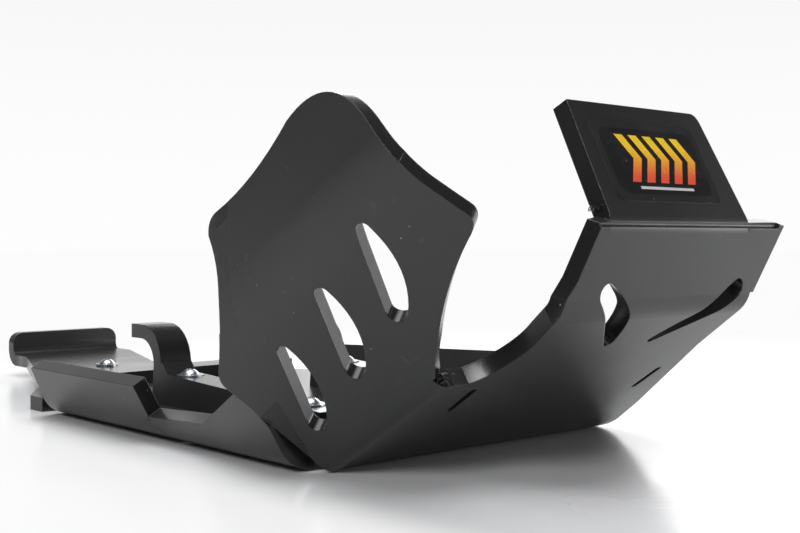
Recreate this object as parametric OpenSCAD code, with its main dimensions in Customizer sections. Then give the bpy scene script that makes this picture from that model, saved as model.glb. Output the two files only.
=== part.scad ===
// Skid plate for an off-road motorcycle, with its bolted linkage guard and frame hooks.
// X runs forward, Y to the left and Z up. The origin is the middle of the flat belly's underside.
// The main plate is one thermoformed sheet. Its outline was routed flat, then folded up along straight lines.

/* [Sheet] */
// Thickness of the plastic sheet
sheet_t = 8; // [5:0.5:10]
// Radius of the groove routed along the flap's fold
groove_r = 1.3; // [0.6:0.1:2]

/* [Belly] */
// Length of the flat belly under the engine, back to its full-width ears
belly_len = 273; // [240:1:320]
// Half of the belly's flat width, out to where its sides start to rise
belly_half = 95.5; // [85:0.5:110]
// Length of the narrowing tail behind the ears
tail_len = 72; // [60:1:90]
// Half of the tail's width at its rear edge
tail_half = 62; // [50:1:75]
// Length of the flat ears behind the side flanks
ear_len = 16; // [10:1:24]
// How far each ear stands out past the flat width
ear_out = 11; // [6:0.5:14]

/* [Ramp, nose and top flap] */
// Slope of the ramp above the belly
ramp_angle = 34.3; // [28:0.1:40]
// Length of the flat ramp between its two folds
ramp_flat = 112.1; // [100:0.1:124]
// Slope of the nose
nose_angle = 75.5; // [70:0.1:80]
// Length of the flat nose between its two folds
nose_flat = 27.1; // [23:0.1:35]
// Lean of the top flap back past upright
flap_lean = 27.1; // [20:0.1:32]
// Length of the flat top flap above its fold
flap_flat = 53.1; // [44:0.1:62]
// Outer radius of the soft fold between belly and ramp
belly_fold_r = 30; // [20:1:40]
// Outer radius of the fold between ramp and nose
nose_fold_r = 16; // [12:1:20]
// Outer radius of the tight fold under the flap
flap_fold_r = 10.5; // [10.2:0.1:12]
// Half width at the fold between ramp and nose
neck_half = 64.5; // [58:0.5:70]
// Half width of the nose's far shoulder
shoulder_far = 80; // [74:0.5:84]
// Half width of the nose's near shoulder
shoulder_near = 52; // [49:0.5:56]
// Width of the flap on the near side of the middle
flap_near = 45; // [42:0.5:47]
// Width of the flap on the far side of the middle
flap_far = 50.5; // [46:0.5:54]

/* [Openings in the ramp] */
// Length of each small strap slot
strap_slot_len = 20; // [14:1:26]
// Width of each small strap slot
strap_slot_w = 3.8; // [3:0.1:5]
// Distance of the strap slots' middles up the flat ramp
strap_slot_up = 50.7; // [43:0.1:59]
// Distance of the strap slots from the middle
strap_slot_out = 64; // [58:0.5:68]
// Length of each curved cooling vent
vent_len = 51; // [44:0.5:54]
// Greatest width of each cooling vent
vent_w = 11; // [9:0.5:13]
// Slant of the vents from the middle line
vent_slant = 46.5; // [42:0.5:50]
// Radius of the scoop routed into the ramp's near edge
scoop_r = 30; // [26:0.5:32]

/* [Side wing] */
// Length of the fold that joins the wing to the ramp
wing_fold_len = 75.5; // [70:0.5:80]
// Angle of that fold to the ramp's own direction
wing_skew = 5.7; // [4:0.1:8]
// Lean of the wing's lower part outward from upright
wing_flare = 38; // [30:0.5:42]
// Lean of the wing's upper part outward from upright
wing_top_flare = 2; // [0:0.5:10]
// Height up the wing where its soft bend starts
wing_bend_up = 62; // [58:1:70]
// Length of the wing's soft bend
wing_bend_len = 30; // [24:1:36]
// Outer radius of the fold between ramp and wing
wing_fold_r = 10.5; // [10.2:0.1:14]
// Length of each claw slot
claw_len = 44.5; // [38:0.5:48]
// Greatest width of each claw slot
claw_w = 12.4; // [10:0.2:13.5]
// Slant of the claw slots to the wing's fold
claw_slant = 58.6; // [54:0.2:62]

/* [Side flanks] */
// Slope of the flanks above the table
flank_angle = 60; // [50:0.5:66]
// Outer radius of the fold between belly and flanks
flank_fold_r = 20; // [16:1:24]
// Height of the near rear flank
rear_flank_h = 26; // [22:0.5:32]
// Height of the low stretch of the near front flank
low_flank_h = 12; // [10.5:0.5:16]
// Height of the tall stretch of the near front flank
tall_flank_h = 44; // [36:0.5:48]
// Height of the far flank at its rear end
far_flank_rear_h = 23; // [18:0.5:32]
// Height of the far flank at its front end
far_flank_front_h = 31; // [26:0.5:42]
// Width of the relief cut between the two near flanks
flank_gap = 9; // [6:0.5:12]

/* [Frame hooks] */
// Thickness of each hook from side to side
hook_w = 20; // [16:0.5:24]
// Radius of the frame tube that a hook takes
hook_r = 14; // [12:0.5:15]
// Thickness of the hook's curved arm
hook_t = 8; // [6:0.5:10]
// Height of the middle of the frame tube above the table
hook_centre_h = 30; // [28:0.5:34]
// Length of the hook's flat tip past the tube's middle
hook_tip = 11; // [6:0.5:14]
// Length of each hook's foot along the belly
hook_foot_len = 156; // [140:1:170]
// Height of the foot's top at its rear above the belly
foot_rear_h = 18; // [14:0.5:19]
// Height of the foot's top at its front above the belly
foot_front_h = 11; // [8:0.5:14]
// Distance of the hooks' middles from the middle line
hook_out = 57; // [50:0.5:66]
// Place of the hook's leg behind the ramp's fold
hook_back = 197; // [185:1:205]

/* [Linkage guard] */
// Length of the guard from its front edge to its turned-up end
guard_len = 168; // [150:1:185]
// Place of the guard's front edge behind the ramp's fold
guard_front = 282; // [276:1:290]
// Half width of the guard's turned-up end
guard_end_half = 42; // [36:0.5:48]
// Height of the turned-up end above the guard's underside
guard_end_h = 24; // [18:0.5:30]
// Outer radius of the fold at the guard's end
guard_fold_r = 12; // [10.5:0.5:16]

/* [Fasteners] */
// Thread diameter of the screws
screw_d = 6; // [5:0.5:8]
// Width across each domed screw head
screw_head_d = 10.5; // [9:0.5:12]
// Height of each domed screw head
screw_head_h = 3.3; // [2.5:0.1:4.5]
// Outer diameter of the washers
washer_d = 14.8; // [13:0.2:18]
// Thickness of the washers
washer_t = 1.4; // [1:0.1:2]
// Diameter of the flange of each pressed-in nut
nut_flange_d = 17; // [14:0.5:20]
// Thickness of that flange
nut_flange_t = 1.4; // [1:0.1:2]
// Outer diameter of the barrel of each pressed-in nut
nut_barrel_d = 8; // [7.5:0.1:9]
// Clearance all round a screw in its hole
screw_clear = 0.3; // [0.2:0.05:0.5]

/* [Decal] */
// Length of the decal across the flap
decal_w = 72; // [60:1:76]
// Height of the decal up the flap
decal_h = 38; // [30:1:44]
// Thickness of the decal's film
decal_t = 0.3; // [0.2:0.05:0.5]

/* [Hidden] */
$fn = 64;

sheet_colour = [0.07, 0.07, 0.075];
zinc_colour = [0.75, 0.76, 0.78];
film_colour = [0.95, 0.55, 0.08];

near = -1;
far = 1;
flap_angle = 90 + flap_lean;

// Length of a fold's tangent, from the end of a panel to the corner where the outer faces would meet
function fold_back(turn, r) = r * tan(turn / 2);
nose_turn = nose_angle - ramp_angle;
flap_turn = flap_angle - nose_angle;
belly_fold = fold_back(ramp_angle, belly_fold_r);
nose_fold = fold_back(nose_turn, nose_fold_r);
flap_fold = fold_back(flap_turn, flap_fold_r);

// Direction of the wing's fold, and the turn of the sheet there
wing_rise = asin(cos(wing_skew) * sin(ramp_angle));
wing_heading = atan2(sin(wing_skew), cos(wing_skew) * cos(ramp_angle));
wing_side = [sin(wing_heading), -cos(wing_heading), 0];
wing_up = [-sin(wing_rise) * cos(wing_heading), -sin(wing_rise) * sin(wing_heading), cos(wing_rise)];
wing_normal = wing_side * cos(wing_flare) - wing_up * sin(wing_flare);
wing_turn = acos(wing_normal * [sin(ramp_angle), 0, -cos(ramp_angle)]);
wing_fold = fold_back(wing_turn, wing_fold_r);
wing_bend_turn = wing_flare - wing_top_flare;
wing_bend_r = wing_bend_len / (wing_bend_turn * PI / 180);
// Y of the near end of the belly's fold
fold_near = wing_fold * cos(wing_skew) - belly_half;

flank_fold_h = flank_fold_r * (1 - cos(flank_angle));
// Distance up a flank's flat face, past its fold, of a height above the table
function up_flank(h) = (h - flank_fold_h) / sin(flank_angle);
front_flank_x = -12;
rear_flank_x = -137;
flank_end_x = ear_len - belly_len;

foot_rear_x = -hook_back - hook_t / 4;
hook_bolt_x = [foot_rear_x + 25, foot_rear_x + 136];
foot_slope = atan((foot_rear_h - foot_front_h) / hook_foot_len);
function foot_top(x) = sheet_t + foot_rear_h - (x - foot_rear_x) * tan(foot_slope);

guard_bolt = [[-327, -27], [-300, -70], [-300, 62]];
guard_end_x = -guard_front - guard_len + sheet_t;

through = 60;
eps = 0.01;
// A fold is a hair fuller than its panels, and they reach a little way into it
skin = 0.01;
lap = 0.04;

// Slab of sheet of the outline below it, with the outer face at the bottom
module slab() linear_extrude(sheet_t) children();

// One fold, from the end of a panel at the origin. X runs along the panel.
module fold(turn, r, from, to)
    translate([0, 0, r])
        rotate([90, 0, 0])
            rotate([0, 0, -90])
                rotate_extrude(angle = turn, $fn = 96)
                    translate([r - sheet_t - skin, -to - skin])
                        square([sheet_t + 2 * skin, to - from + 2 * skin]);

module past_fold(turn, r) translate([0, 0, r]) rotate([0, -turn, 0]) translate([0, 0, -r]) children();

// Frames of the panels. Each starts at the end of the fold below it, on the sheet's outer face.
module on_ramp() translate([-belly_fold, 0, 0]) past_fold(ramp_angle, belly_fold_r) children();
module on_ramp_end() on_ramp() translate([ramp_flat, 0, 0]) children();
module on_nose() on_ramp_end() past_fold(nose_turn, nose_fold_r) children();
module on_nose_end() on_nose() translate([nose_flat, 0, 0]) children();
module on_flap() on_nose_end() past_fold(flap_turn, flap_fold_r) children();
module on_vents() on_ramp_end() translate([nose_fold, 0, 0]) rotate([0, -nose_turn / 2, 0]) children();

// Middle of the circle of radius r that closes round two smaller ones, bulging to the left of a line from a to b
function closing_centre(a, ra, b, rb, r) =
    let (d = norm(b - a), u = (b - a) / d, p = ((r - ra) * (r - ra) - (r - rb) * (r - rb) + d * d) / (2 * d))
    a + u * p + sqrt((r - ra) * (r - ra) - p * p) * [u[1], -u[0]];

// Claw-shaped outline from a narrow tip at the origin along X. One side is straight and the other bulges.
module claw(length, width, tip_r, end_r) {
    a = [tip_r, tip_r];
    b = [length - end_r, end_r];
    chord = norm(b - a);
    rise = width - tip_r - end_r;
    r = (chord * chord / 4 + rise * rise) / (2 * rise) + (tip_r + end_r) / 2;
    c = closing_centre(a, tip_r, b, end_r, r);
    translate(a) circle(tip_r);
    translate(b) circle(end_r);
    intersection() {
        translate(c) circle(r - 0.02, $fn = 128);
        polygon([[a[0], 0], a, c + (a - c) * 1.6, c + (b - c) * 1.6, b, [b[0], 0]]);
    }
}

// Points of a bend through three guide points, without its last
function bow(a, b, c, n = 8) = [for (i = [0:n - 1]) let (t = i / n)
    (1 - t) * (1 - t) * a + 2 * t * (1 - t) * b + t * t * c];

module slot(length, width) {
    square([length - width, width], center = true);
    for (s = [-1, 1]) translate([s * (length - width) / 2, 0]) circle(width / 2);
}

module belly_outline() {
    tail_x = -belly_len - tail_len;
    front = lap - belly_fold;
    side = belly_half + lap;
    ear = belly_half + ear_out;
    polygon([
        [front, fold_near], [front_flank_x, -side], [flank_end_x, -side], [flank_end_x, -ear], [-belly_len, -ear],
        [tail_x, -tail_half], [tail_x, tail_half], [-belly_len, ear], [flank_end_x, ear], [flank_end_x, side],
        [front_flank_x, side], [front, belly_half]]);
}

module ramp_outline()
    difference() {
        polygon([
            [-lap, -belly_half], [99, -belly_half], [99, -61.3], [ramp_flat + lap, -neck_half],
            [ramp_flat + lap, neck_half], [81.7, 70], [62.7, 76.7], [20.7, 91], [-lap, belly_half]]);
        intersection() {
            translate([90.7, -60 - scoop_r]) circle(scoop_r);
            translate([wing_fold_len - belly_fold, -belly_half - scoop_r]) square([scoop_r * 2, scoop_r * 3]);
        }
        for (s = [near, far]) translate([strap_slot_up, s * strap_slot_out]) slot(strap_slot_len, strap_slot_w);
    }

module nose_outline() {
    top = nose_flat + flap_fold;
    polygon([
        [-lap, -neck_half], [8, -59.8], [top, -shoulder_near], [top + 1, -flap_near - 1],
        [nose_flat + lap, -flap_near - 1], [nose_flat + lap, flap_far + 1], [top + 1, flap_far + 1],
        [top + 1.5, shoulder_far - 7], [top, shoulder_far], [-lap, neck_half + 2.4]]);
}

module flap_outline()
    polygon(concat(
        [[-lap, flap_far + 1], [-lap, -flap_near], [flap_flat, 2 - flap_near]],
        bow([flap_flat, flap_far - 8], [flap_flat, flap_far - 3.5], [flap_flat - 5, flap_far - 3]),
        [[flap_flat - 5, flap_far - 3]]));

module vents() {
    tilt = (nose_angle - ramp_angle) / 2;
    on_vents()
        translate([0, 6.5, -through / 2])
            linear_extrude(through)
                for (s = [0, 1]) mirror([0, s])
                    translate([-24.8, 12.6])
                        rotate(vent_slant)
                            mirror([0, 1])
                                translate([0, -4])
                                    claw(vent_len, vent_w, 2.4, 4.4);
}

// Frames of the wing, from its fold's start on the ramp. X runs up the wing and Y along its fold.
module from_ramp_to_wing()
    translate([-belly_fold, -belly_half, 0]) rotate([0, 0, wing_skew - 90]) translate([-wing_fold, 0, 0]) children();
module on_wing_foot() on_ramp() from_ramp_to_wing() children();
module on_wing() on_wing_foot() past_fold(wing_turn, wing_fold_r) translate([-wing_fold, 0, 0]) children();
module on_wing_bend() on_wing() translate([wing_bend_up, 0, 0]) children();
module on_wing_top() on_wing_bend() past_fold(wing_bend_turn, wing_bend_r) children();

// Outline on the unbent wing, with X up the wing and Y along its fold
module wing_outline() mirror([1, -1])
    polygon(concat(
        [[0, 0]],
        bow([wing_fold_len, 0], [76, 6], [90, 14.7]),
        bow([90, 14.7], [112, 31], [136, 39.2]),
        bow([136, 39.2], [144.5, 41.5], [143.3, 47]),
        bow([143.3, 47], [139, 73], [137, 97]),
        bow([137, 97], [134.5, 127], [104, 123], 16),
        bow([104, 123], [75, 115], [50, 118]),
        bow([50, 118], [43.5, 118.7], [40, 112.7]),
        bow([40, 112.7], [36.5, 86.5], [5, 66.3], 12),
        bow([5, 66.3], [0, 63], [0, 58])));

module wing_slots() mirror([1, -1])
    for (k = [0:2]) translate([18.3 + 35.6 * k, 21.5 + 7.1 * k])
        rotate(claw_slant)
            translate([claw_len - 4.5, 4.5])
                rotate(180)
                    claw(claw_len, claw_w, 3.2, 4.5);

module wing() {
    reach = 160;
    half_bend = wing_bend_len / 2;
    difference() {
        intersection() {
            union() {
                on_wing() translate([wing_fold - lap, -5, 0])
                    cube([wing_bend_up - wing_fold + 2 * lap, reach, sheet_t]);
                on_wing_bend() fold(wing_bend_turn, wing_bend_r, -5, reach - 5);
                on_wing_top() translate([-lap, -5, 0]) cube([60, reach, sheet_t]);
            }
            union() {
                on_wing() translate([0, 0, -through / 2]) linear_extrude(through) intersection() {
                    wing_outline();
                    translate([0, -5]) square([wing_bend_up + half_bend, reach]);
                }
                on_wing_top() translate([0, 0, -through / 2]) linear_extrude(through) intersection() {
                    translate([-wing_bend_up - wing_bend_len, 0]) wing_outline();
                    translate([-half_bend, -5]) square([60, reach]);
                }
            }
        }
        on_wing() translate([0, 0, -through / 2]) linear_extrude(through) wing_slots();
    }
    on_wing_foot() fold(wing_turn, wing_fold_r, 0, wing_fold_len);
}

// Frame of a flank's foot on the belly. X runs out and Y back.
module on_flank_foot(side)
    mirror([0, side == near ? 1 : 0, 0]) translate([0, belly_half, 0]) rotate([0, 0, 90]) children();

// Frame of a flank's flat face. X runs forward, Y up the flank and Z in through the sheet.
module on_flank(side)
    on_flank_foot(side) past_fold(flank_angle, flank_fold_r) rotate([0, 0, -90]) children();

module flank_sheet(side, from, to) {
    on_flank_foot(side) fold(flank_angle, flank_fold_r, -to, -from);
    on_flank(side) translate([from, -lap, 0]) cube([to - from, up_flank(tall_flank_h) + lap, sheet_t]);
}

// Flank over a stretch of the side, kept below the line through the points given as place and height
module flank(side, from, to, top) {
    low = -flank_fold_r;
    intersection() {
        flank_sheet(side, from, to);
        on_flank(side)
            translate([0, 0, -through / 2])
                linear_extrude(through)
                    polygon(concat([[to, low], [from, low]], [for (p = top) [p[0], up_flank(p[1])]]));
    }
}

module skid_plate()
    color(sheet_colour) difference() {
        union() {
            slab() belly_outline();
            translate([-belly_fold, 0, 0])
                fold(ramp_angle, belly_fold_r, fold_near, belly_half);
            on_ramp() difference() {
                slab() ramp_outline();
                from_ramp_to_wing() translate([lap, -through / 2, -1]) cube([through, 2 * wing_fold_len, 2 * sheet_t]);
            }
            on_ramp_end() fold(nose_turn, nose_fold_r, -neck_half, neck_half);
            on_nose() slab() nose_outline();
            on_nose_end() fold(flap_turn, flap_fold_r, -flap_near - 1, flap_far + 1);
            on_flap() slab() flap_outline();
            wing();
            flank(near, rear_flank_x, front_flank_x, [
                [rear_flank_x, low_flank_h], [-82, low_flank_h], [-44, tall_flank_h], [-42, tall_flank_h],
                [front_flank_x, 0]]);
            flank(near, flank_end_x, rear_flank_x - flank_gap, [
                [flank_end_x, rear_flank_h - 6], [flank_end_x + 6, rear_flank_h],
                [rear_flank_x - flank_gap, rear_flank_h]]);
            flank(far, flank_end_x, front_flank_x, [
                [flank_end_x, far_flank_rear_h], [-40, far_flank_front_h], [front_flank_x, 0]]);
        }
        vents();
        on_nose_end() translate([flap_fold, 0, 0]) rotate([90, 0, 0])
            cylinder(r = groove_r, h = 3 * flap_far, center = true);
        translate([-8, -belly_half - 15, -5]) cube([30, 30, 5]);
        for (s = [near, far], x = hook_bolt_x) translate([x, s * hook_out, 0]) nut_hole();
        for (p = guard_bolt) translate([p[0], p[1], 0]) nut_hole();
    }

// Hole through the belly for a pressed-in nut, with a seat for its flange
module nut_hole() {
    translate([0, 0, -eps]) cylinder(d = nut_barrel_d, h = sheet_t + 1);
    translate([0, 0, -eps]) cylinder(d = nut_flange_d + 0.4, h = nut_flange_t + eps);
}

module screw_hole() translate([0, 0, -eps]) cylinder(d = screw_d + 2 * screw_clear, h = through);

module linkage_guard() {
    front = -guard_front;
    end = guard_end_x;
    flat_end = end + fold_back(90, guard_fold_r) - sheet_t;
    color(sheet_colour) translate([0, 0, sheet_t]) difference() {
        union() {
            slab() polygon([
                [front, -95], [flat_end + 18, -guard_end_half], [flat_end - lap, -guard_end_half],
                [flat_end - lap, guard_end_half], [flat_end + 18, guard_end_half], [-335, 12], [-316, 8], [-308, 14],
                [-306, 88], [front, 95]]);
            translate([flat_end, 0, 0]) mirror([1, 0, 0])
                fold(90, guard_fold_r, -guard_end_half, guard_end_half);
            translate([end - sheet_t, 0, 0]) rotate([90, 0, 90]) slab() difference() {
                translate([-guard_end_half, guard_fold_r - lap])
                    square([2 * guard_end_half, guard_end_h - guard_fold_r + lap]);
                for (s = [-1, 1]) translate([s * guard_end_half, guard_end_h]) difference() {
                    square(16, center = true);
                    translate([-s * 8, -8]) circle(8);
                }
            }
        }
        for (p = guard_bolt) translate([p[0], p[1], 0]) screw_hole();
    }
}

module hook_profile() {
    leg_front = -hook_back + hook_t;
    difference() {
        union() {
            polygon([
                [foot_rear_x, sheet_t], [foot_rear_x + hook_foot_len, sheet_t],
                [foot_rear_x + hook_foot_len, foot_top(foot_rear_x + hook_foot_len)],
                [leg_front + 6, foot_top(leg_front + 6)], [leg_front, foot_top(leg_front) + 6],
                [leg_front, hook_centre_h], [-hook_back, hook_centre_h]]);
            translate([-hook_back - hook_r, hook_centre_h]) intersection() {
                circle(hook_r + hook_t);
                square(2 * hook_r + hook_t);
            }
            translate([-hook_back - hook_r - hook_tip, hook_centre_h + hook_r]) square([hook_tip, hook_t]);
        }
        translate([-hook_back - hook_r, hook_centre_h]) circle(hook_r);
    }
}

module frame_hook(side)
    color(sheet_colour) difference() {
        translate([0, side * hook_out + hook_w / 2, 0])
            rotate([90, 0, 0])
                linear_extrude(hook_w)
                    hook_profile();
        for (x = hook_bolt_x) translate([x, side * hook_out, 0]) {
            screw_hole();
            translate([0, 0, foot_top(x) - 0.9]) cylinder(d = washer_d + 1, h = through);
        }
    }

module at_hook_bolt(side, k) translate([hook_bolt_x[k], side * hook_out, foot_top(hook_bolt_x[k]) - 0.9]) children();
module at_guard_bolt(k) translate([guard_bolt[k][0], guard_bolt[k][1], 2 * sheet_t]) children();

// Domed screw that stands on a washer at the origin and reaches down to a depth
module screw(depth) color(zinc_colour) {
    dome_r = (screw_head_d * screw_head_d / 4 + screw_head_h * screw_head_h) / (2 * screw_head_h);
    translate([0, 0, washer_t]) difference() {
        intersection() {
            translate([0, 0, screw_head_h - dome_r]) sphere(dome_r, $fn = 96);
            cylinder(d = screw_head_d, h = screw_head_h);
        }
        translate([0, 0, screw_head_h - 2]) cylinder(d = 4.6, h = 3, $fn = 6);
    }
    translate([0, 0, -depth]) cylinder(d = screw_d, h = depth + washer_t + eps);
}

module washer() color(zinc_colour) difference() {
    cylinder(d = washer_d, h = washer_t);
    translate([0, 0, -1]) cylinder(d = screw_d + 2 * screw_clear, h = washer_t + 2);
}

// Pressed-in nut, flush with the underside of the belly
module flush_nut() color(zinc_colour) difference() {
    union() {
        cylinder(d = nut_flange_d, h = nut_flange_t);
        cylinder(d = nut_barrel_d, h = sheet_t - 0.5);
    }
    translate([0, 0, -1]) cylinder(d = screw_d + 0.1, h = sheet_t + 2);
}

// Film stuck on the flap's outer face
module flap_decal()
    color(film_colour)
        on_flap()
            translate([flap_flat / 2 - 1, (flap_far - flap_near) / 2 - 2, -decal_t])
                linear_extrude(decal_t)
                    difference() {
                        square([decal_h, decal_w], center = true);
                        for (a = [-1, 1], b = [-1, 1]) translate([a * decal_h / 2, b * decal_w / 2]) difference() {
                            square(8, center = true);
                            translate([-a * 4, -b * 4]) circle(4);
                        }
                    }

// Moves the model from the ramp's fold to its own origin under the middle of the belly
module placed() translate([belly_len / 2, 0, 0]) children();

module hook_screw(side, k) at_hook_bolt(side, k) screw(foot_top(hook_bolt_x[k]) - 2);
module hook_nut(side, k) translate([hook_bolt_x[k], side * hook_out, 0]) flush_nut();
module guard_nut(k) translate([guard_bolt[k][0], guard_bolt[k][1], 0]) flush_nut();

placed() skid_plate();
placed() linkage_guard();
placed() frame_hook(near);  // frame_hook_near
placed() frame_hook(far);  // frame_hook_far
placed() flap_decal();
placed() hook_screw(near, 0);  // hook_screw_near_rear
placed() hook_screw(near, 1);  // hook_screw_near_front
placed() hook_screw(far, 0);  // hook_screw_far_rear
placed() hook_screw(far, 1);  // hook_screw_far_front
placed() at_hook_bolt(near, 0) washer();  // hook_washer_near_rear
placed() at_hook_bolt(near, 1) washer();  // hook_washer_near_front
placed() at_hook_bolt(far, 0) washer();  // hook_washer_far_rear
placed() at_hook_bolt(far, 1) washer();  // hook_washer_far_front
placed() hook_nut(near, 0);  // hook_nut_near_rear
placed() hook_nut(near, 1);  // hook_nut_near_front
placed() hook_nut(far, 0);  // hook_nut_far_rear
placed() hook_nut(far, 1);  // hook_nut_far_front
placed() at_guard_bolt(0) screw(2 * sheet_t - 2);  // guard_screw_middle
placed() at_guard_bolt(1) screw(2 * sheet_t - 2);  // guard_screw_near
placed() at_guard_bolt(2) screw(2 * sheet_t - 2);  // guard_screw_far
placed() at_guard_bolt(0) washer();  // guard_washer_middle
placed() at_guard_bolt(1) washer();  // guard_washer_near
placed() at_guard_bolt(2) washer();  // guard_washer_far
placed() guard_nut(0);  // guard_nut_middle
placed() guard_nut(1);  // guard_nut_near
placed() guard_nut(2);  // guard_nut_far
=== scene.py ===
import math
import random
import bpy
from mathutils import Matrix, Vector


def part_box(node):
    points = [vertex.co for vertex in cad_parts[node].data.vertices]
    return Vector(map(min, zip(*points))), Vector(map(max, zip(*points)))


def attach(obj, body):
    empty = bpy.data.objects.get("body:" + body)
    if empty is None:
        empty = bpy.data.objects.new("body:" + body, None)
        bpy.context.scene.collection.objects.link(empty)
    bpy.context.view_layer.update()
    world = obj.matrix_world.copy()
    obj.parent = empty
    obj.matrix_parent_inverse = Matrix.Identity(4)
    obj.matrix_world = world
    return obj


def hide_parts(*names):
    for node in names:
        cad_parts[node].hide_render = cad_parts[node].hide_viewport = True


bl_info = {
    "name": "Folded Skid Plate",
    "version": (1, 0, 0),
    "blender": (4, 5, 0),
    "location": "View3D > Sidebar > Skid Plate",
    "description": "Dresses a folded plastic skid plate with its finishes, burrs, film and studio",
    "category": "Object",
}

import bmesh
import bpy
from bpy.props import FloatProperty, FloatVectorProperty, IntProperty, PointerProperty
from mathutils import Matrix, Vector

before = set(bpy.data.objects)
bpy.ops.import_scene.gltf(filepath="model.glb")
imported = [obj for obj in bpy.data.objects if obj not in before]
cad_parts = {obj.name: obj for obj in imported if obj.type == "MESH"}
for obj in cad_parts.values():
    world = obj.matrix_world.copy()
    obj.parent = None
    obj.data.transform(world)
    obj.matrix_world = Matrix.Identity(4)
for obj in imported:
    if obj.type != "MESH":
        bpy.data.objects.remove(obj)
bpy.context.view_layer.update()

FILM_LOW, FILM_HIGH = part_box("flap_decal")
FASTENER_KINDS = ("_screw_", "_washer_", "_nut_")
FASTENERS = sorted(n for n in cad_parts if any(kind in n for kind in FASTENER_KINDS))

# The near flanks. left and right are x at the foot and at the top of the fold, and top is the outline of the
# flat from left to right, as x and height. Each flank laps a little over the belly's side.
SHEET_THICK = 0.008
FOLD_RADIUS = 0.020
FLANK_SLOPE = math.radians(60)
FLANK_FOLD_Y = -0.0955
FLANK_LAP = 0.00005
FLANK_REACH = (-0.1207, 0.1247)
REAR_FLANK = {
    "left": (-0.1080, -0.1050),
    "right": (0.0265, 0.0155),
    "top": [(-0.0985, 0.0285), (-0.0965, 0.0292), (0.0171, 0.0292)],
}
FRONT_FLANK = {
    "left": (0.0290, 0.0150),
    "right": (0.1262, 0.1251),
    "top": [(0.0130, 0.0128), (0.0674, 0.0156), (0.1120, 0.0358), (0.1180, 0.0320), (0.1249, 0.0215)],
}

# The wing's back edge has a step at the upper bend. It is evened out between two x, two y and over a height.
WING_EASE_X = (0.2050, 0.2174)
WING_EASE_Y = (-0.1275, -0.1246)
WING_EASE_OVER = 0.1333
WING_STEP = Vector((0.00052, 0.00007, 0.00035))

# Where the ramp and the wing start, the slanted line that bounds the wing, and the plane at the ear's back
RAMP_FROM_X = 0.1255
WING_FROM_X = 0.1325
WING_AXIS = (0.822, 0.100, 0.561)
WING_LINE_SLOPE, WING_LINE_Y = 0.12, -0.1042
EAR_NORMAL, EAR_REACH = (0.31, -0.91, -0.29), 0.1405

# Where the router left its burrs
WING_FOOT = (0.1962, -0.0872, 0.0450)
FLAP_CORNER = (0.2428, -0.0448, 0.1130)

# The stage: each lamp's place, the point at which it is aimed, its width and height, and its power
LAMPS = {
    "Ceiling panel": ((0.0, -0.15, 1.7), (0.0, -0.05, 0.0), (1.5, 1.5), 23.0),
    "Shoulder window": ((0.94, -1.24, 1.2), (0.15, -0.05, 0.05), (0.6, 0.6), 13.0),
    "Back window": ((-0.7, 1.35, 0.65), (0.05, 0.0, 0.05), (1.6, 0.7), 10.0),
    "Side panel": ((0.8, 1.5, 0.2), (0.2, 0.0, 0.05), (1.0, 0.3), 7.0),
}
CAMERA_PLACE = (0.5395, -0.416, 0.102)
CAMERA_WAY = (-0.744, 0.668, -0.0236)
TABLE_RADIUS = 9.0
TABLE_BELOW = 0.0002
TABLE_FADE_MIDDLE = (0.05, 0.0, 0.0)
TABLE_FADE_REACH = (0.34, 0.75)
# Band of the table in front of the plate where white painted light covers the plate's shadow for the camera
TABLE_PAINTED_LIGHT_Y = (-0.110, -0.155)
WHITE = (1.0, 1.0, 1.0, 1.0)


# Sizes and colours

def colour_setting(label, text, value):
    kind = {"subtype": "COLOR", "size": 3, "min": 0, "max": 1}
    return FloatVectorProperty(name=label, description=text, default=value, **kind)


def share_setting(label, text, value, low=0.05):
    return FloatProperty(name=label, description=text, default=value, min=low, max=1)


def length_setting(label, text, value, low, high):
    shown = {"precision": 5, "unit": "LENGTH"}
    return FloatProperty(name=label, description=text, default=value, min=low, max=high, **shown)


def count_setting(label, text, value, low, high):
    return IntProperty(name=label, description=text, default=value, min=low, max=high)


class SheetLook(bpy.types.PropertyGroup):
    """Finish of the black sheet plastic"""

    colour: colour_setting("Colour", "Colour of the sheet", (0.0215, 0.0217, 0.0222))
    scuff_colour: colour_setting("Scuff colour", "Colour of light scuffs", (0.11, 0.11, 0.11))
    roughness: share_setting("Roughness", "Roughness of the sheet's faces", 0.31)
    edge_roughness: share_setting("Edge roughness", "Roughness of the routed edges", 0.23)
    edge_round: length_setting("Edge round", "Radius of the broken edges", 0.0007, 0, 0.003)


class ZincLook(bpy.types.PropertyGroup):
    """Finish of the plated screws, washers and nuts"""

    colour: colour_setting("Colour", "Colour of the plating", (0.56, 0.59, 0.62))
    roughness: share_setting("Roughness", "Roughness of the plating", 0.30)


class FilmLook(bpy.types.PropertyGroup):
    """Print on the flap's film"""

    chevrons: count_setting("Chevrons", "How many chevrons are printed", 5, 2, 9)
    margin: length_setting("Margin", "Width of the clear margin", 0.0035, 0, 0.01)
    ground: colour_setting("Ground", "Colour of the printed ground", (0.012, 0.012, 0.013))
    high: colour_setting("Upper colour", "Colour at the top of the chevrons", (0.95, 0.62, 0.03))
    low: colour_setting("Lower colour", "Colour at the foot of the chevrons", (0.82, 0.10, 0.05))
    rule: colour_setting("Rule colour", "Colour of the rule under the chevrons", (0.62, 0.62, 0.62))


class BurrSizes(bpy.types.PropertyGroup):
    """Sizes of the burrs left by the router"""

    width: length_setting("Width", "Width of a burr's ribbon", 0.0011, 0.0002, 0.004)
    thickness: length_setting("Thickness", "Thickness of a burr's ribbon", 0.00025, 0.0001, 0.001)
    at_wing: count_setting("At the wing", "How many burrs hang at the wing's foot", 16, 1, 60)
    at_flap: count_setting("At the flap", "How many burrs hang at the flap's corner", 4, 1, 60)


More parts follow.
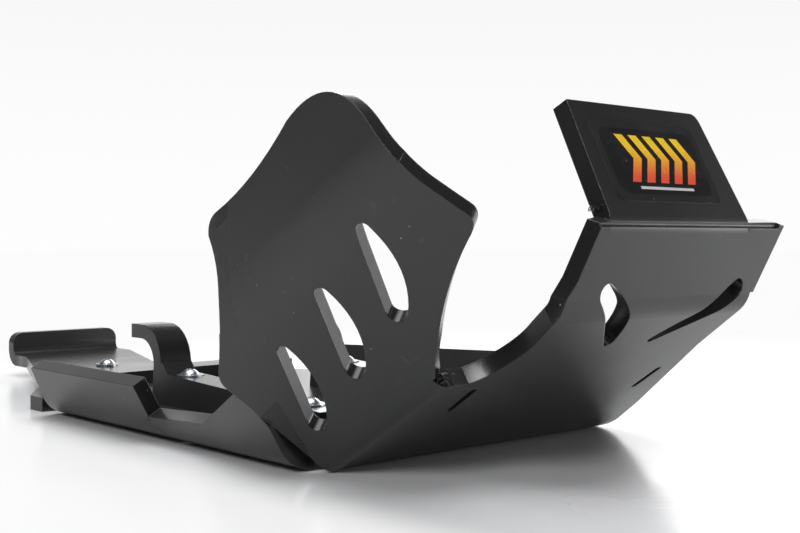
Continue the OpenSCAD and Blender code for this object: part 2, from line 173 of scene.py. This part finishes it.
class StudioSettings(bpy.types.PropertyGroup):
    """Table, lamps and camera"""

    table_colour: colour_setting("Table colour", "Colour of the table", (0.86, 0.865, 0.88))
    table_roughness: share_setting("Table roughness", "Roughness of the table's gloss", 0.22, 0)
    lens: FloatProperty(name="Lens", description="Focal length", default=53.5, min=20, max=200, unit="CAMERA")


# Node helpers

def put(tree, kind, inputs=None, **options):
    """Adds a node with its options, and sets or links its inputs. Returns the node."""
    new = tree.nodes.new(kind)
    for name, value in options.items():
        setattr(new, name, value)
    for socket, value in (inputs or {}).items():
        if isinstance(value, bpy.types.NodeSocket):
            tree.links.new(value, new.inputs[socket])
        else:
            new.inputs[socket].default_value = value
    return new


def maths(tree, operation, a, b=0.0, clamp=False):
    return put(tree, "ShaderNodeMath", {0: a, 1: b}, operation=operation, use_clamp=clamp).outputs[0]


def times(tree, first, *others):
    for other in others:
        first = maths(tree, "MULTIPLY", first, other)
    return first


def without(tree, value):
    return maths(tree, "SUBTRACT", 1.0, value)


def absolute(tree, value):
    return maths(tree, "ABSOLUTE", value)


def dot(tree, a, b):
    return put(tree, "ShaderNodeVectorMath", {0: a, 1: b}, operation="DOT_PRODUCT").outputs["Value"]


def mix_float(tree, factor, a, b):
    return put(tree, "ShaderNodeMix", {0: factor, 2: a, 3: b}, data_type="FLOAT").outputs[0]


def between(tree, value, low, high, to_low=0.0, to_high=1.0):
    """Smooth step of a value from one range to another."""
    sockets = {"Value": value, "From Min": low, "From Max": high, "To Min": to_low, "To Max": to_high}
    return put(tree, "ShaderNodeMapRange", sockets, interpolation_type="SMOOTHSTEP").outputs["Result"]


def blend_colour(tree, factor, a, b):
    new = put(tree, "ShaderNodeMix", {0: factor}, data_type="RGBA")
    for socket, value in ((new.inputs[6], a), (new.inputs[7], b)):
        if isinstance(value, bpy.types.NodeSocket):
            tree.links.new(value, socket)
        else:
            socket.default_value = (*value, 1.0)
    return new.outputs[2]


def scaled(tone, factor):
    return [channel * factor for channel in tone]


def object_point(tree, turn=(0, 0, 0), stretch=(1, 1, 1)):
    """The point's place in the object, turned by degrees and stretched."""
    place = put(tree, "ShaderNodeTexCoord").outputs["Object"]
    if turn == (0, 0, 0) and stretch == (1, 1, 1):
        return place
    sockets = {"Vector": place, "Rotation": [math.radians(a) for a in turn], "Scale": stretch}
    return put(tree, "ShaderNodeMapping", sockets).outputs["Vector"]


def split(tree, vector):
    return put(tree, "ShaderNodeSeparateXYZ", {"Vector": vector}).outputs


def noise(tree, point, scale, detail=2.0, rough=0.5):
    sockets = {"Vector": point, "Scale": scale, "Detail": detail, "Roughness": rough}
    return put(tree, "ShaderNodeTexNoise", sockets).outputs["Fac"]


def rounded_normal(tree, radius):
    return put(tree, "ShaderNodeBevel", {"Radius": radius}, samples=6).outputs["Normal"]


def bumped_normal(tree, strength, distance, height, normal=None):
    sockets = {"Strength": strength, "Distance": distance, "Height": height}
    if normal:
        sockets["Normal"] = normal
    return put(tree, "ShaderNodeBump", sockets).outputs["Normal"]


def new_group(name, inputs, output):
    """Starts a shader node group. Returns its tree, its input sockets by name and its one output socket."""
    tree = bpy.data.node_groups.new(name, "ShaderNodeTree")
    for label, value in inputs.items():
        socket = tree.interface.new_socket(label, in_out="INPUT", socket_type="NodeSocketFloat")
        socket.default_value = value
    tree.interface.new_socket(output, in_out="OUTPUT", socket_type="NodeSocketFloat")
    start, end = tree.nodes.new("NodeGroupInput"), tree.nodes.new("NodeGroupOutput")
    return tree, start.outputs, end.inputs[output]


def use_group(tree, name, **inputs):
    """Adds a node group with its inputs. Returns its one output."""
    new = put(tree, "ShaderNodeGroup", node_tree=bpy.data.node_groups[name])
    for label, value in inputs.items():
        new.inputs[label.capitalize()].default_value = value
    return new.outputs[0]


def new_material(name):
    """A material with only a Principled shader and its output."""
    material = bpy.data.materials.new(name)
    material.use_nodes = True
    tree = material.node_tree
    tree.nodes.clear()
    shader = put(tree, "ShaderNodeBsdfPrincipled")
    tree.links.new(shader.outputs[0], put(tree, "ShaderNodeOutputMaterial").inputs["Surface"])
    return material, tree, shader


# Shared effects

def make_scratches():
    """Hairline scratches in three directions, gathered in patches."""
    tree, given, mask = new_group("Hairline scratches", {"Scale": 1.0, "Amount": 1.0}, "Mask")
    lines = []
    for turn, size in (((20, 35, 10), 130.0), ((-35, 10, 60), 170.0), ((65, -20, -40), 210.0)):
        point = object_point(tree, turn, (1.0, 0.035, 1.0))
        streak = noise(tree, point, times(tree, given["Scale"], size), 3.0, 0.55)
        patch = noise(tree, object_point(tree, turn), size / 7, 2.0)
        lines.append(times(tree, between(tree, streak, 0.66, 0.74), between(tree, patch, 0.50, 0.66)))
    most = maths(tree, "MAXIMUM", maths(tree, "MAXIMUM", lines[0], lines[1]), lines[2])
    tree.links.new(maths(tree, "MULTIPLY", most, given["Amount"], True), mask)


def make_dust():
    """Small pale specks of dust and swarf."""
    tree, given, mask = new_group("Dust specks", {"Scale": 420.0, "Amount": 1.0}, "Mask")
    cells = {"Vector": object_point(tree), "Scale": given["Scale"]}
    cell = put(tree, "ShaderNodeTexVoronoi", cells).outputs
    pick = put(tree, "ShaderNodeSeparateColor", {"Color": cell["Color"]}).outputs
    speck = between(tree, cell["Distance"], times(tree, pick[1], 0.20), times(tree, pick[1], 0.12))
    rare = between(tree, pick[0], 0.945, 0.965)
    patch = between(tree, noise(tree, object_point(tree), 26.0, 2.0), 0.40, 0.62)
    tree.links.new(maths(tree, "MULTIPLY", times(tree, speck, rare, patch), given["Amount"], True), mask)


def make_edge_wear():
    """Broken pale line along edges, found from the difference of a rounded normal."""
    tree, given, mask = new_group("Edge wear", {"Radius": 0.0009, "Amount": 1.0}, "Mask")
    sharp = put(tree, "ShaderNodeNewGeometry").outputs["Normal"]
    edge = between(tree, dot(tree, rounded_normal(tree, given["Radius"]), sharp), 0.985, 0.80)
    worn = between(tree, noise(tree, object_point(tree), 240.0, 4.0, 0.7), 0.42, 0.68)
    tree.links.new(maths(tree, "MULTIPLY", times(tree, edge, worn), given["Amount"], True), mask)


def make_grain():
    """Height of the sheet's fine grain on a slow waviness."""
    tree, given, height = new_group("Sheet grain", {"Fine": 1.0, "Wave": 1.0}, "Height")
    fine = times(tree, noise(tree, object_point(tree), 1900.0, 3.0, 0.6), given["Fine"])
    wave = times(tree, noise(tree, object_point(tree), 22.0, 1.0), given["Wave"])
    tree.links.new(maths(tree, "ADD", fine, wave), height)


def make_router_marks():
    """Fine lines that a router leaves across the sheet's thickness on a cut edge."""
    tree, given, height = new_group("Router marks", {"Scale": 1.0}, "Height")
    around = object_point(tree, stretch=(1.0, 0.06, 1.0))
    across = object_point(tree, (0, 0, 40), (1.0, 1.0, 0.12))
    fine = noise(tree, around, times(tree, given["Scale"], 700.0), 3.0, 0.6)
    wide = noise(tree, across, times(tree, given["Scale"], 380.0), 2.0)
    tree.links.new(maths(tree, "ADD", fine, wide), height)


def make_plate_edges():
    """Finds the folded plate's cut edges. Each part of the sheet has one axis that its faces never face."""
    tree, _, mask = new_group("Plate cut edges", {}, "Mask")
    soft = 0.001
    x, y = split(tree, object_point(tree))[:2]
    normal = put(tree, "ShaderNodeNewGeometry").outputs["True Normal"]
    axes = ((1, 0, 0), (0, 1, 0), WING_AXIS)
    to_x, to_y, to_wing = (absolute(tree, dot(tree, normal, axis)) for axis in axes)
    # The wing lies beyond a slanted line in the plate's front half, and its ear beyond the ear's back
    wing_line = maths(tree, "ADD", y, times(tree, x, -WING_LINE_SLOPE))
    past_line = between(tree, wing_line, WING_LINE_Y, WING_LINE_Y - soft)
    past_back = between(tree, dot(tree, object_point(tree), EAR_NORMAL), EAR_REACH, EAR_REACH + soft)
    on_wing = times(tree, past_line, between(tree, x, WING_FROM_X, WING_FROM_X + soft))
    on_ear = times(tree, past_back, between(tree, x, WING_FROM_X + soft, WING_FROM_X))
    on_wing = maths(tree, "MAXIMUM", on_wing, on_ear)
    on_ramp = between(tree, x, RAMP_FROM_X, RAMP_FROM_X + soft)
    rest = maths(tree, "ADD", times(tree, to_y, on_ramp), times(tree, to_x, without(tree, on_ramp)))
    rest = times(tree, rest, without(tree, on_wing))
    facing = maths(tree, "ADD", rest, times(tree, to_wing, on_wing))
    tree.links.new(between(tree, facing, 0.12, 0.30), mask)


# Materials

def sheet_plastic(name, look, cut_edges, gloss=0.0):
    """Satin black sheet plastic, smoother by gloss. cut_edges(tree) gives the mask of its routed edges."""
    material, tree, shader = new_material(name)
    cut = cut_edges(tree)
    scratch = use_group(tree, "Hairline scratches", scale=1.0, amount=0.8)
    dust = use_group(tree, "Dust specks", scale=420.0, amount=0.8)
    worn = use_group(tree, "Edge wear", radius=look.edge_round, amount=0.55)
    cloud = between(tree, noise(tree, object_point(tree), 9.0, 3.0), 0.3, 0.7)
    base = blend_colour(tree, cloud, scaled(look.colour, 0.86), scaled(look.colour, 1.16))
    base = blend_colour(tree, cut, base, scaled(look.colour, 0.55))
    base = blend_colour(tree, times(tree, scratch, 0.35), base, look.scuff_colour)
    base = blend_colour(tree, worn, base, look.scuff_colour)
    base = blend_colour(tree, dust, base, (0.42, 0.42, 0.41))
    tree.links.new(base, shader.inputs["Base Color"])
    even = look.roughness - gloss
    rough = between(tree, cloud, 0.0, 1.0, even - 0.03, even + 0.04)
    rough = mix_float(tree, cut, rough, look.edge_roughness)
    marred = times(tree, maths(tree, "MAXIMUM", scratch, dust), 0.22)
    tree.links.new(maths(tree, "ADD", rough, marred, True), shader.inputs["Roughness"])
    shader.inputs["IOR"].default_value = 1.54
    grain = times(tree, use_group(tree, "Sheet grain", fine=0.10, wave=9.0), without(tree, cut))
    marks = times(tree, use_group(tree, "Router marks", scale=1.0), cut, 0.5)
    height = maths(tree, "SUBTRACT", maths(tree, "ADD", grain, marks), times(tree, scratch, 0.25))
    soft = rounded_normal(tree, look.edge_round)
    tree.links.new(bumped_normal(tree, 0.35, 0.00012, height, soft), shader.inputs["Normal"])
    return material


def facing_y(tree):
    normal = put(tree, "ShaderNodeNewGeometry").outputs["True Normal"]
    return absolute(tree, dot(tree, normal, (0, 1, 0)))


def folded_plate_edges(tree):
    """Cut edges of the folded plate."""
    return use_group(tree, "Plate cut edges")


def across_y(tree):
    """Cut edges of a sheet that is bent only about Y."""
    return between(tree, facing_y(tree), 0.12, 0.30)


def around_y(tree):
    """Cut edges of a piece whose flat faces look along Y."""
    return between(tree, facing_y(tree), 0.88, 0.70)


def zinc_plating(look):
    """Bright zinc with a faint mottle and a fine grain."""
    material, tree, shader = new_material("Bright zinc")
    mottle = between(tree, noise(tree, object_point(tree), 700.0, 3.0), 0.35, 0.65)
    tone = blend_colour(tree, mottle, scaled(look.colour, 0.86), look.colour)
    rough = between(tree, mottle, 0.0, 1.0, look.roughness + 0.08, look.roughness - 0.04)
    grain = noise(tree, object_point(tree), 2600.0, 2.0)
    tree.links.new(tone, shader.inputs["Base Color"])
    tree.links.new(rough, shader.inputs["Roughness"])
    shader.inputs["Metallic"].default_value = 1.0
    soft = rounded_normal(tree, 0.0003)
    tree.links.new(bumped_normal(tree, 0.25, 0.00005, grain, soft), shader.inputs["Normal"])
    return material


def within(tree, value, limit, soft):
    """1 where a value's size is under a limit, with a soft edge."""
    return between(tree, absolute(tree, value), limit, limit - soft)


def printed_film(look):
    """Glossy film with a row of chevrons over a thin rule, on a black ground inside a clear margin."""
    material, tree, shader = new_material("Printed film")
    middle, spread = (FILM_LOW + FILM_HIGH) / 2, FILM_HIGH - FILM_LOW
    half_w, half_h = spread.y / 2, math.hypot(spread.x, spread.z) / 2
    place = object_point(tree)
    moved = put(tree, "ShaderNodeVectorMath", {0: place, 1: middle}, operation="SUBTRACT").outputs[0]
    along = dot(tree, moved, (0, 1, 0))
    up = dot(tree, moved, Vector((-spread.x, 0, spread.z)).normalized())
    corner = 0.006
    room_up, room_along = 0.0078, 0.0085
    shift_up, shift_along = 0.0012, 0.003
    lean = 0.62
    rule_room = 0.0064
    # Panel with rounded corners inside the clear margin
    past = []
    for value, half in ((along, half_w), (up, half_h)):
        side = maths(tree, "SUBTRACT", absolute(tree, value), half - look.margin - corner)
        side = maths(tree, "MAXIMUM", side, 0.0)
        past.append(times(tree, side, side))
    far = maths(tree, "SQRT", maths(tree, "ADD", *past))
    panel = between(tree, far, corner + 0.0001, corner - 0.0001)
    # Whole chevrons point to +Y and repeat along the panel
    reach_up = half_h - room_up
    reach_along = half_w - room_along - lean * reach_up / 2
    pitch = 2 * reach_along / look.chevrons
    raised = maths(tree, "SUBTRACT", up, shift_up)
    bent = maths(tree, "ADD", along, times(tree, absolute(tree, raised), lean))
    bent = maths(tree, "SUBTRACT", bent, lean * reach_up / 2 + shift_along)
    wrapped = {0: maths(tree, "ADD", bent, reach_along), 1: 0.0, 2: pitch}
    phase = put(tree, "ShaderNodeMath", wrapped, operation="WRAP").outputs[0]
    bar = within(tree, maths(tree, "SUBTRACT", phase, pitch / 2), pitch * 0.30, pitch * 0.015)
    row = within(tree, raised, reach_up + 0.00015, 0.0003)
    row = times(tree, row, within(tree, bent, reach_along, 0.0002))
    ink = blend_colour(tree, between(tree, up, 0.010 - half_h, half_h - 0.010), look.low, look.high)
    shown = blend_colour(tree, times(tree, bar, row), look.ground, ink)
    # Thin rule under the chevrons
    rule = within(tree, maths(tree, "ADD", up, half_h - rule_room), 0.0007, 0.0001)
    rule = times(tree, rule, within(tree, along, half_w * 0.52, half_w * 0.005))
    shown = blend_colour(tree, rule, shown, look.rule)
    base = blend_colour(tree, panel, (0.022, 0.0225, 0.0235), shown)
    dust = use_group(tree, "Dust specks", scale=500.0, amount=0.5)
    tree.links.new(blend_colour(tree, dust, base, (0.5, 0.5, 0.5)), shader.inputs["Base Color"])
    rough = between(tree, noise(tree, place, 60.0, 3.0), 0.35, 0.7, 0.16, 0.30)
    tree.links.new(rough, shader.inputs["Roughness"])
    wave = noise(tree, place, 90.0, 2.0)
    tree.links.new(bumped_normal(tree, 0.3, 0.0002, wave), shader.inputs["Normal"])
    return material


def dress(node, material):
    """Puts a material in every slot of a node's object."""
    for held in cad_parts[node].material_slots:
        held.material = material


# Forms

def add_piece(shape, name, material):
    """Turns a finished mesh into an object that rides the part's one body."""
    mesh = bpy.data.meshes.new(name)
    shape.to_mesh(mesh)
    shape.free()
    mesh.materials.append(material)
    piece = bpy.data.objects.new(name, mesh)
    bpy.context.scene.collection.objects.link(piece)
    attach(piece, "root")
    return piece


def bent_flank(shape, fold_y, left, right, top):
    """Adds a flank to a mesh: a fold up from the belly's side, and a flat that is cut along its top."""
    rows = 8
    lift = FOLD_RADIUS * (1 - math.cos(FLANK_SLOPE))

    def place(x, height, depth):
        radius = FOLD_RADIUS - depth
        turn = math.acos(1 - min(height, lift) / FOLD_RADIUS)
        up = max(height - lift, 0) / math.sin(FLANK_SLOPE)
        y = fold_y - radius * math.sin(turn) - up * math.cos(FLANK_SLOPE)
        return Vector((x, y, FOLD_RADIUS - radius * math.cos(turn) + up * math.sin(FLANK_SLOPE)))

    heights = [FOLD_RADIUS * (1 - math.cos(FLANK_SLOPE * i / rows)) for i in range(rows + 1)]
    ends = [[(foot + (head - foot) * h / lift, h) for h in heights] for foot, head in (left, right)]
    edge = ends[0] + top + ends[1][::-1]
    last = len(edge) - 1
    skins = [[shape.verts.new(place(x, h, depth)) for x, h in edge] for depth in (0.0, SHEET_THICK)]
    made = []
    for skin in skins:
        for i in range(rows):
            made.append(shape.faces.new((skin[i], skin[i + 1], skin[last - i - 1], skin[last - i])))
        made.append(shape.faces.new(skin[rows:last - rows + 1]))
    for i in range(len(edge)):
        j = (i + 1) % len(edge)
        made.append(shape.faces.new((skins[0][i], skins[0][j], skins[1][j], skins[1][i])))
    bmesh.ops.recalc_face_normals(shape, faces=made)


def leans(face):
    """Whether a face leans like the flanks' faces: out of level and out of upright, and square to X."""
    tilt = 0.02
    x, y, z = (abs(part) for part in face.normal)
    return x < tilt < min(y, z)


def refit_near_flanks(shape):
    """Takes the two plain near flanks off the plate's copy and puts the closely cut ones in their place."""
    slack = 0.0005
    start, end = FLANK_REACH
    off = []
    for vert in shape.verts:
        beside = vert.co.y < FLANK_FOLD_Y - slack and start < vert.co.x < end
        if beside and any(leans(face) for face in vert.link_faces):
            off.append(vert)
    bmesh.ops.delete(shape, geom=off, context="VERTS")
    bmesh.ops.holes_fill(shape, edges=[e for e in shape.edges if e.is_boundary], sides=0)
    for flank in (REAR_FLANK, FRONT_FLANK):
        bent_flank(shape, FLANK_FOLD_Y + FLANK_LAP, **flank)


def ease_wing_edge(shape):
    """Leads the wing's back edge out to its upper bend without a step."""
    slack = 0.0002
    start, end = WING_EASE_X
    low, high = WING_EASE_Y
    for vert in shape.verts:
        x, y, z = vert.co
        if start < x < end + slack and low < y < high and z > WING_EASE_OVER:
            vert.co += WING_STEP * ((x - start) / (end - start)) ** 2


def sheet_piece(node, name, material, refits=()):
    """Builds a sheet piece on a node's form, with its arcs shaded smooth and its flats kept flat."""
    weld, crease = 0.000002, math.radians(28)
    shape = bmesh.new()
    shape.from_mesh(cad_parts[node].data)
    bmesh.ops.remove_doubles(shape, verts=shape.verts, dist=weld)
    bmesh.ops.dissolve_degenerate(shape, edges=shape.edges, dist=weld / 2)
    shape.normal_update()
    for refit in refits:
        refit(shape)
    for face in shape.faces:
        face.smooth = True
        face.material_index = 0
    for edge in shape.edges:
        edge.smooth = len(edge.link_faces) == 2 and edge.calc_face_angle(0.0) < crease
    piece = add_piece(shape, name, material)
    even = piece.modifiers.new("Flat faces first", "WEIGHTED_NORMAL")
    even.keep_sharp = True
    even.weight = 80
    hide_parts(node)


def drift(chance, reach):
    return [chance.uniform(-reach, reach) for _ in range(3)]


def ribbon(shape, start, way, reach, sizes, chance):
    """Adds a thin ribbon that curls away from its start and narrows to its tip."""
    steps = 10
    spot, way, rings = Vector(start), Vector(way).normalized(), []
    turn = way.cross(Vector(drift(chance, 1))).normalized()
    curl = chance.uniform(0.05, 0.42)
    for i in range(steps + 1):
        side = turn * sizes.width * (1 - 0.85 * (i / steps) ** 2) / 2
        back = way.cross(turn).normalized() * sizes.thickness / 2
        corners = ((-1, -1), (1, -1), (1, 1), (-1, 1))
        rings.append([shape.verts.new(spot + side * a + back * b) for a, b in corners])
        spot = spot + way * (reach / steps)
        way = Matrix.Rotation(curl, 3, turn) @ way
        turn = (turn + Vector(drift(chance, 0.22))).normalized()
        turn = (turn - way * turn.dot(way)).normalized()
    for low, high in zip(rings, rings[1:]):
        for i in range(4):
            shape.faces.new((low[i], low[(i + 1) % 4], high[(i + 1) % 4], high[i]))
    shape.faces.new(reversed(rings[0]))
    shape.faces.new(rings[-1])


# Operators

class SKID_OT_effects(bpy.types.Operator):
    """Make the shared effects: scratches, dust, edge wear, grain and router marks"""

    bl_idname = "skid.effects"
    bl_label = "Shared effects"

    def execute(self, context):
        make_scratches()
        make_dust()
        make_edge_wear()
        make_grain()
        make_router_marks()
        make_plate_edges()
        return {"FINISHED"}


class SKID_OT_sheets(bpy.types.Operator):
    """Finish the folded plate, the linkage guard and the frame hooks in satin black plastic"""

    bl_idname = "skid.sheets"
    bl_label = "Sheet plastic"

    def execute(self, context):
        look = context.scene.skid_sheet
        plate = sheet_plastic("Satin black plate", look, folded_plate_edges)
        sheet_piece("skid_plate", "folded_plate", plate, (ease_wing_edge, refit_near_flanks))
        guard = sheet_plastic("Satin black guard", look, across_y, 0.06)
        sheet_piece("linkage_guard", "bolted_guard", guard)
        hooks = sheet_plastic("Satin black hooks", look, around_y)
        sheet_piece("frame_hook_near", "tube_hook_near", hooks)
        sheet_piece("frame_hook_far", "tube_hook_far", hooks)
        return {"FINISHED"}


class SKID_OT_burrs(bpy.types.Operator):
    """Hang the router's burrs at the wing's foot and at the flap's lower corner"""

    bl_idname = "skid.burrs"
    bl_label = "Router burrs"

    def execute(self, context):
        sizes, chance = context.scene.skid_burrs, random.Random(7)
        shape = bmesh.new()
        for _ in range(sizes.at_wing):
            start = Vector(WING_FOOT) + Vector(drift(chance, 0.0014))
            way = (chance.uniform(-0.3, 0.7), chance.uniform(-0.6, 0.6), 0.9)
            ribbon(shape, start, way, chance.uniform(0.004, 0.009), sizes, chance)
        for _ in range(sizes.at_flap):
            start = Vector(FLAP_CORNER) + Vector(drift(chance, 0.0006))
            way = (chance.uniform(-0.5, 0.1), chance.uniform(-0.5, 0.0), 1.0)
            ribbon(shape, start, way, chance.uniform(0.004, 0.007), sizes, chance)
        bmesh.ops.recalc_face_normals(shape, faces=shape.faces)
        for face in shape.faces:
            face.smooth = True
        add_piece(shape, "router_burrs", bpy.data.materials["Satin black guard"])
        return {"FINISHED"}


class SKID_OT_fasteners(bpy.types.Operator):
    """Plate the screws, washers and nuts with bright zinc"""

    bl_idname = "skid.fasteners"
    bl_label = "Fasteners"

    def execute(self, context):
        zinc = zinc_plating(context.scene.skid_zinc)
        for node in FASTENERS:
            dress(node, zinc)
        return {"FINISHED"}


class SKID_OT_film(bpy.types.Operator):
    """Print the film on the flap"""

    bl_idname = "skid.film"
    bl_label = "Film"

    def execute(self, context):
        dress("flap_decal", printed_film(context.scene.skid_film))
        return {"FINISHED"}


class SKID_OT_studio(bpy.types.Operator):
    """Set up the pale table, the soft light and the camera"""

    bl_idname = "skid.studio"
    bl_label = "Studio"

    def execute(self, context):
        settings = context.scene.skid_studio
        make_table(settings)
        make_daylight()
        for name, values in LAMPS.items():
            make_lamp(name, *values)
        make_camera(settings)
        context.scene.view_settings.view_transform = "Standard"
        return {"FINISHED"}


# Stage

def make_table(settings):
    """Pale glossy table that fades to white far from the plate. In front of the plate, white painted light
    covers the plate's shadow where the camera looks.
    """
    mesh = bpy.data.meshes.new("Table")
    shape = bmesh.new()
    bmesh.ops.create_circle(shape, cap_ends=True, segments=96, radius=TABLE_RADIUS)
    shape.to_mesh(mesh)
    shape.free()
    table = bpy.data.objects.new("Table", mesh)
    bpy.context.scene.collection.objects.link(table)
    table.location.z = -TABLE_BELOW
    material, tree, shader = new_material("Pale table")
    place = object_point(tree)
    shader.inputs["Base Color"].default_value = (*settings.table_colour, 1.0)
    shader.inputs["IOR"].default_value = 1.42
    smooth, dull = settings.table_roughness - 0.04, settings.table_roughness + 0.06
    rough = between(tree, noise(tree, place, 11.0, 3.0), 0.3, 0.7, smooth, dull)
    tree.links.new(rough, shader.inputs["Roughness"])
    wave = noise(tree, place, 5.0, 1.0)
    tree.links.new(bumped_normal(tree, 0.25, 0.004, wave), shader.inputs["Normal"])
    rays = put(tree, "ShaderNodeLightPath").outputs
    camera, glossy = rays["Is Camera Ray"], rays["Is Glossy Ray"]
    ends = {0: place, 1: TABLE_FADE_MIDDLE}
    away = put(tree, "ShaderNodeVectorMath", ends, operation="DISTANCE").outputs["Value"]
    far = times(tree, between(tree, away, *TABLE_FADE_REACH), maths(tree, "MAXIMUM", camera, glossy))
    # Painted light: for the camera, the table in front of the plate glows white over the plate's shadow
    front_painted_light = times(tree, between(tree, split(tree, place)["Y"], *TABLE_PAINTED_LIGHT_Y, 0.0, 0.75), camera)
    mirrored = between(tree, dot(tree, place, (-0.35, 0.93, 0.0)), -1.0, 0.2, 0.72, 0.97)
    level = mix_float(tree, camera, mirrored, 0.97)
    white = put(tree, "ShaderNodeEmission", {"Color": WHITE, "Strength": level}).outputs[0]
    faded = {0: maths(tree, "MAXIMUM", far, front_painted_light), 1: shader.outputs[0], 2: white}
    output = next(n for n in tree.nodes if n.type == "OUTPUT_MATERIAL")
    tree.links.new(put(tree, "ShaderNodeMixShader", faded).outputs[0], output.inputs["Surface"])
    mesh.materials.append(material)


def make_daylight():
    """White backdrop for the camera. All else sees a room, bright behind the plate and dim elsewhere."""
    world = bpy.data.worlds.new("Daylight")
    world.use_nodes = True
    bpy.context.scene.world = world
    tree = world.node_tree
    tree.nodes.clear()
    way = put(tree, "ShaderNodeTexCoord").outputs["Generated"]
    up = split(tree, way)["Z"]
    backdrop = between(tree, up, 0.0, 0.35, 0.985, 0.90)
    behind = between(tree, dot(tree, way, (-0.80, 0.60, 0.0)), 0.45, 0.95, 0.20, 1.25)
    room = times(tree, behind, between(tree, up, 0.08, 0.60, 1.0, 0.30))
    camera = put(tree, "ShaderNodeLightPath").outputs["Is Camera Ray"]
    level = mix_float(tree, camera, room, backdrop)
    sky = put(tree, "ShaderNodeBackground", {"Color": WHITE, "Strength": level})
    tree.links.new(sky.outputs[0], put(tree, "ShaderNodeOutputWorld").inputs["Surface"])


def make_lamp(name, place, aim, size, power):
    """Soft rectangular lamp that the camera doesn't see."""
    lamp = bpy.data.lights.new(name, "AREA")
    lamp.shape = "RECTANGLE"
    lamp.size, lamp.size_y = size
    lamp.energy = power
    thing = bpy.data.objects.new(name, lamp)
    bpy.context.scene.collection.objects.link(thing)
    thing.location = place
    thing.rotation_euler = (Vector(aim) - Vector(place)).to_track_quat("-Z", "Y").to_euler()
    thing.visible_camera = False


def make_camera(settings):
    """Camera at the photo's place."""
    camera = bpy.data.cameras.new("Photo view")
    camera.lens = settings.lens
    camera.sensor_fit = "HORIZONTAL"
    camera.sensor_width = 36.0
    camera.clip_start = 0.01
    thing = bpy.data.objects.new("Photo view", camera)
    bpy.context.scene.collection.objects.link(thing)
    thing.location = CAMERA_PLACE
    thing.rotation_euler = Vector(CAMERA_WAY).to_track_quat("-Z", "Y").to_euler()
    bpy.context.scene.camera = thing


# Panel and add-on

class SKID_PT_panel(bpy.types.Panel):
    """Sizes, finishes and operators of the skid plate"""

    bl_label = "Skid Plate"
    bl_idname = "SKID_PT_panel"
    bl_space_type = "VIEW_3D"
    bl_region_type = "UI"
    bl_category = "Skid Plate"

    def draw(self, context):
        layout = self.layout
        for group in GROUPS:
            box = layout.box()
            box.label(text=group.split("_")[1].capitalize())
            settings = getattr(context.scene, group)
            for name in settings.__annotations__:
                box.prop(settings, name)
        for step in STEPS:
            layout.operator(step.bl_idname)


GROUPS = {
    "skid_sheet": SheetLook,
    "skid_zinc": ZincLook,
    "skid_film": FilmLook,
    "skid_burrs": BurrSizes,
    "skid_studio": StudioSettings,
}
STEPS = (SKID_OT_effects, SKID_OT_sheets, SKID_OT_burrs, SKID_OT_fasteners, SKID_OT_film, SKID_OT_studio)
CLASSES = (*GROUPS.values(), *STEPS, SKID_PT_panel)


def register():
    for cls in CLASSES:
        bpy.utils.register_class(cls)
    for name, group in GROUPS.items():
        setattr(bpy.types.Scene, name, PointerProperty(type=group))


def unregister():
    for name in GROUPS:
        delattr(bpy.types.Scene, name)
    for cls in reversed(CLASSES):
        bpy.utils.unregister_class(cls)


def main():
    register()
    for step in STEPS:
        area, name = step.bl_idname.split(".")
        getattr(getattr(bpy.ops, area), name)()


if __name__ == "__main__":
    main()
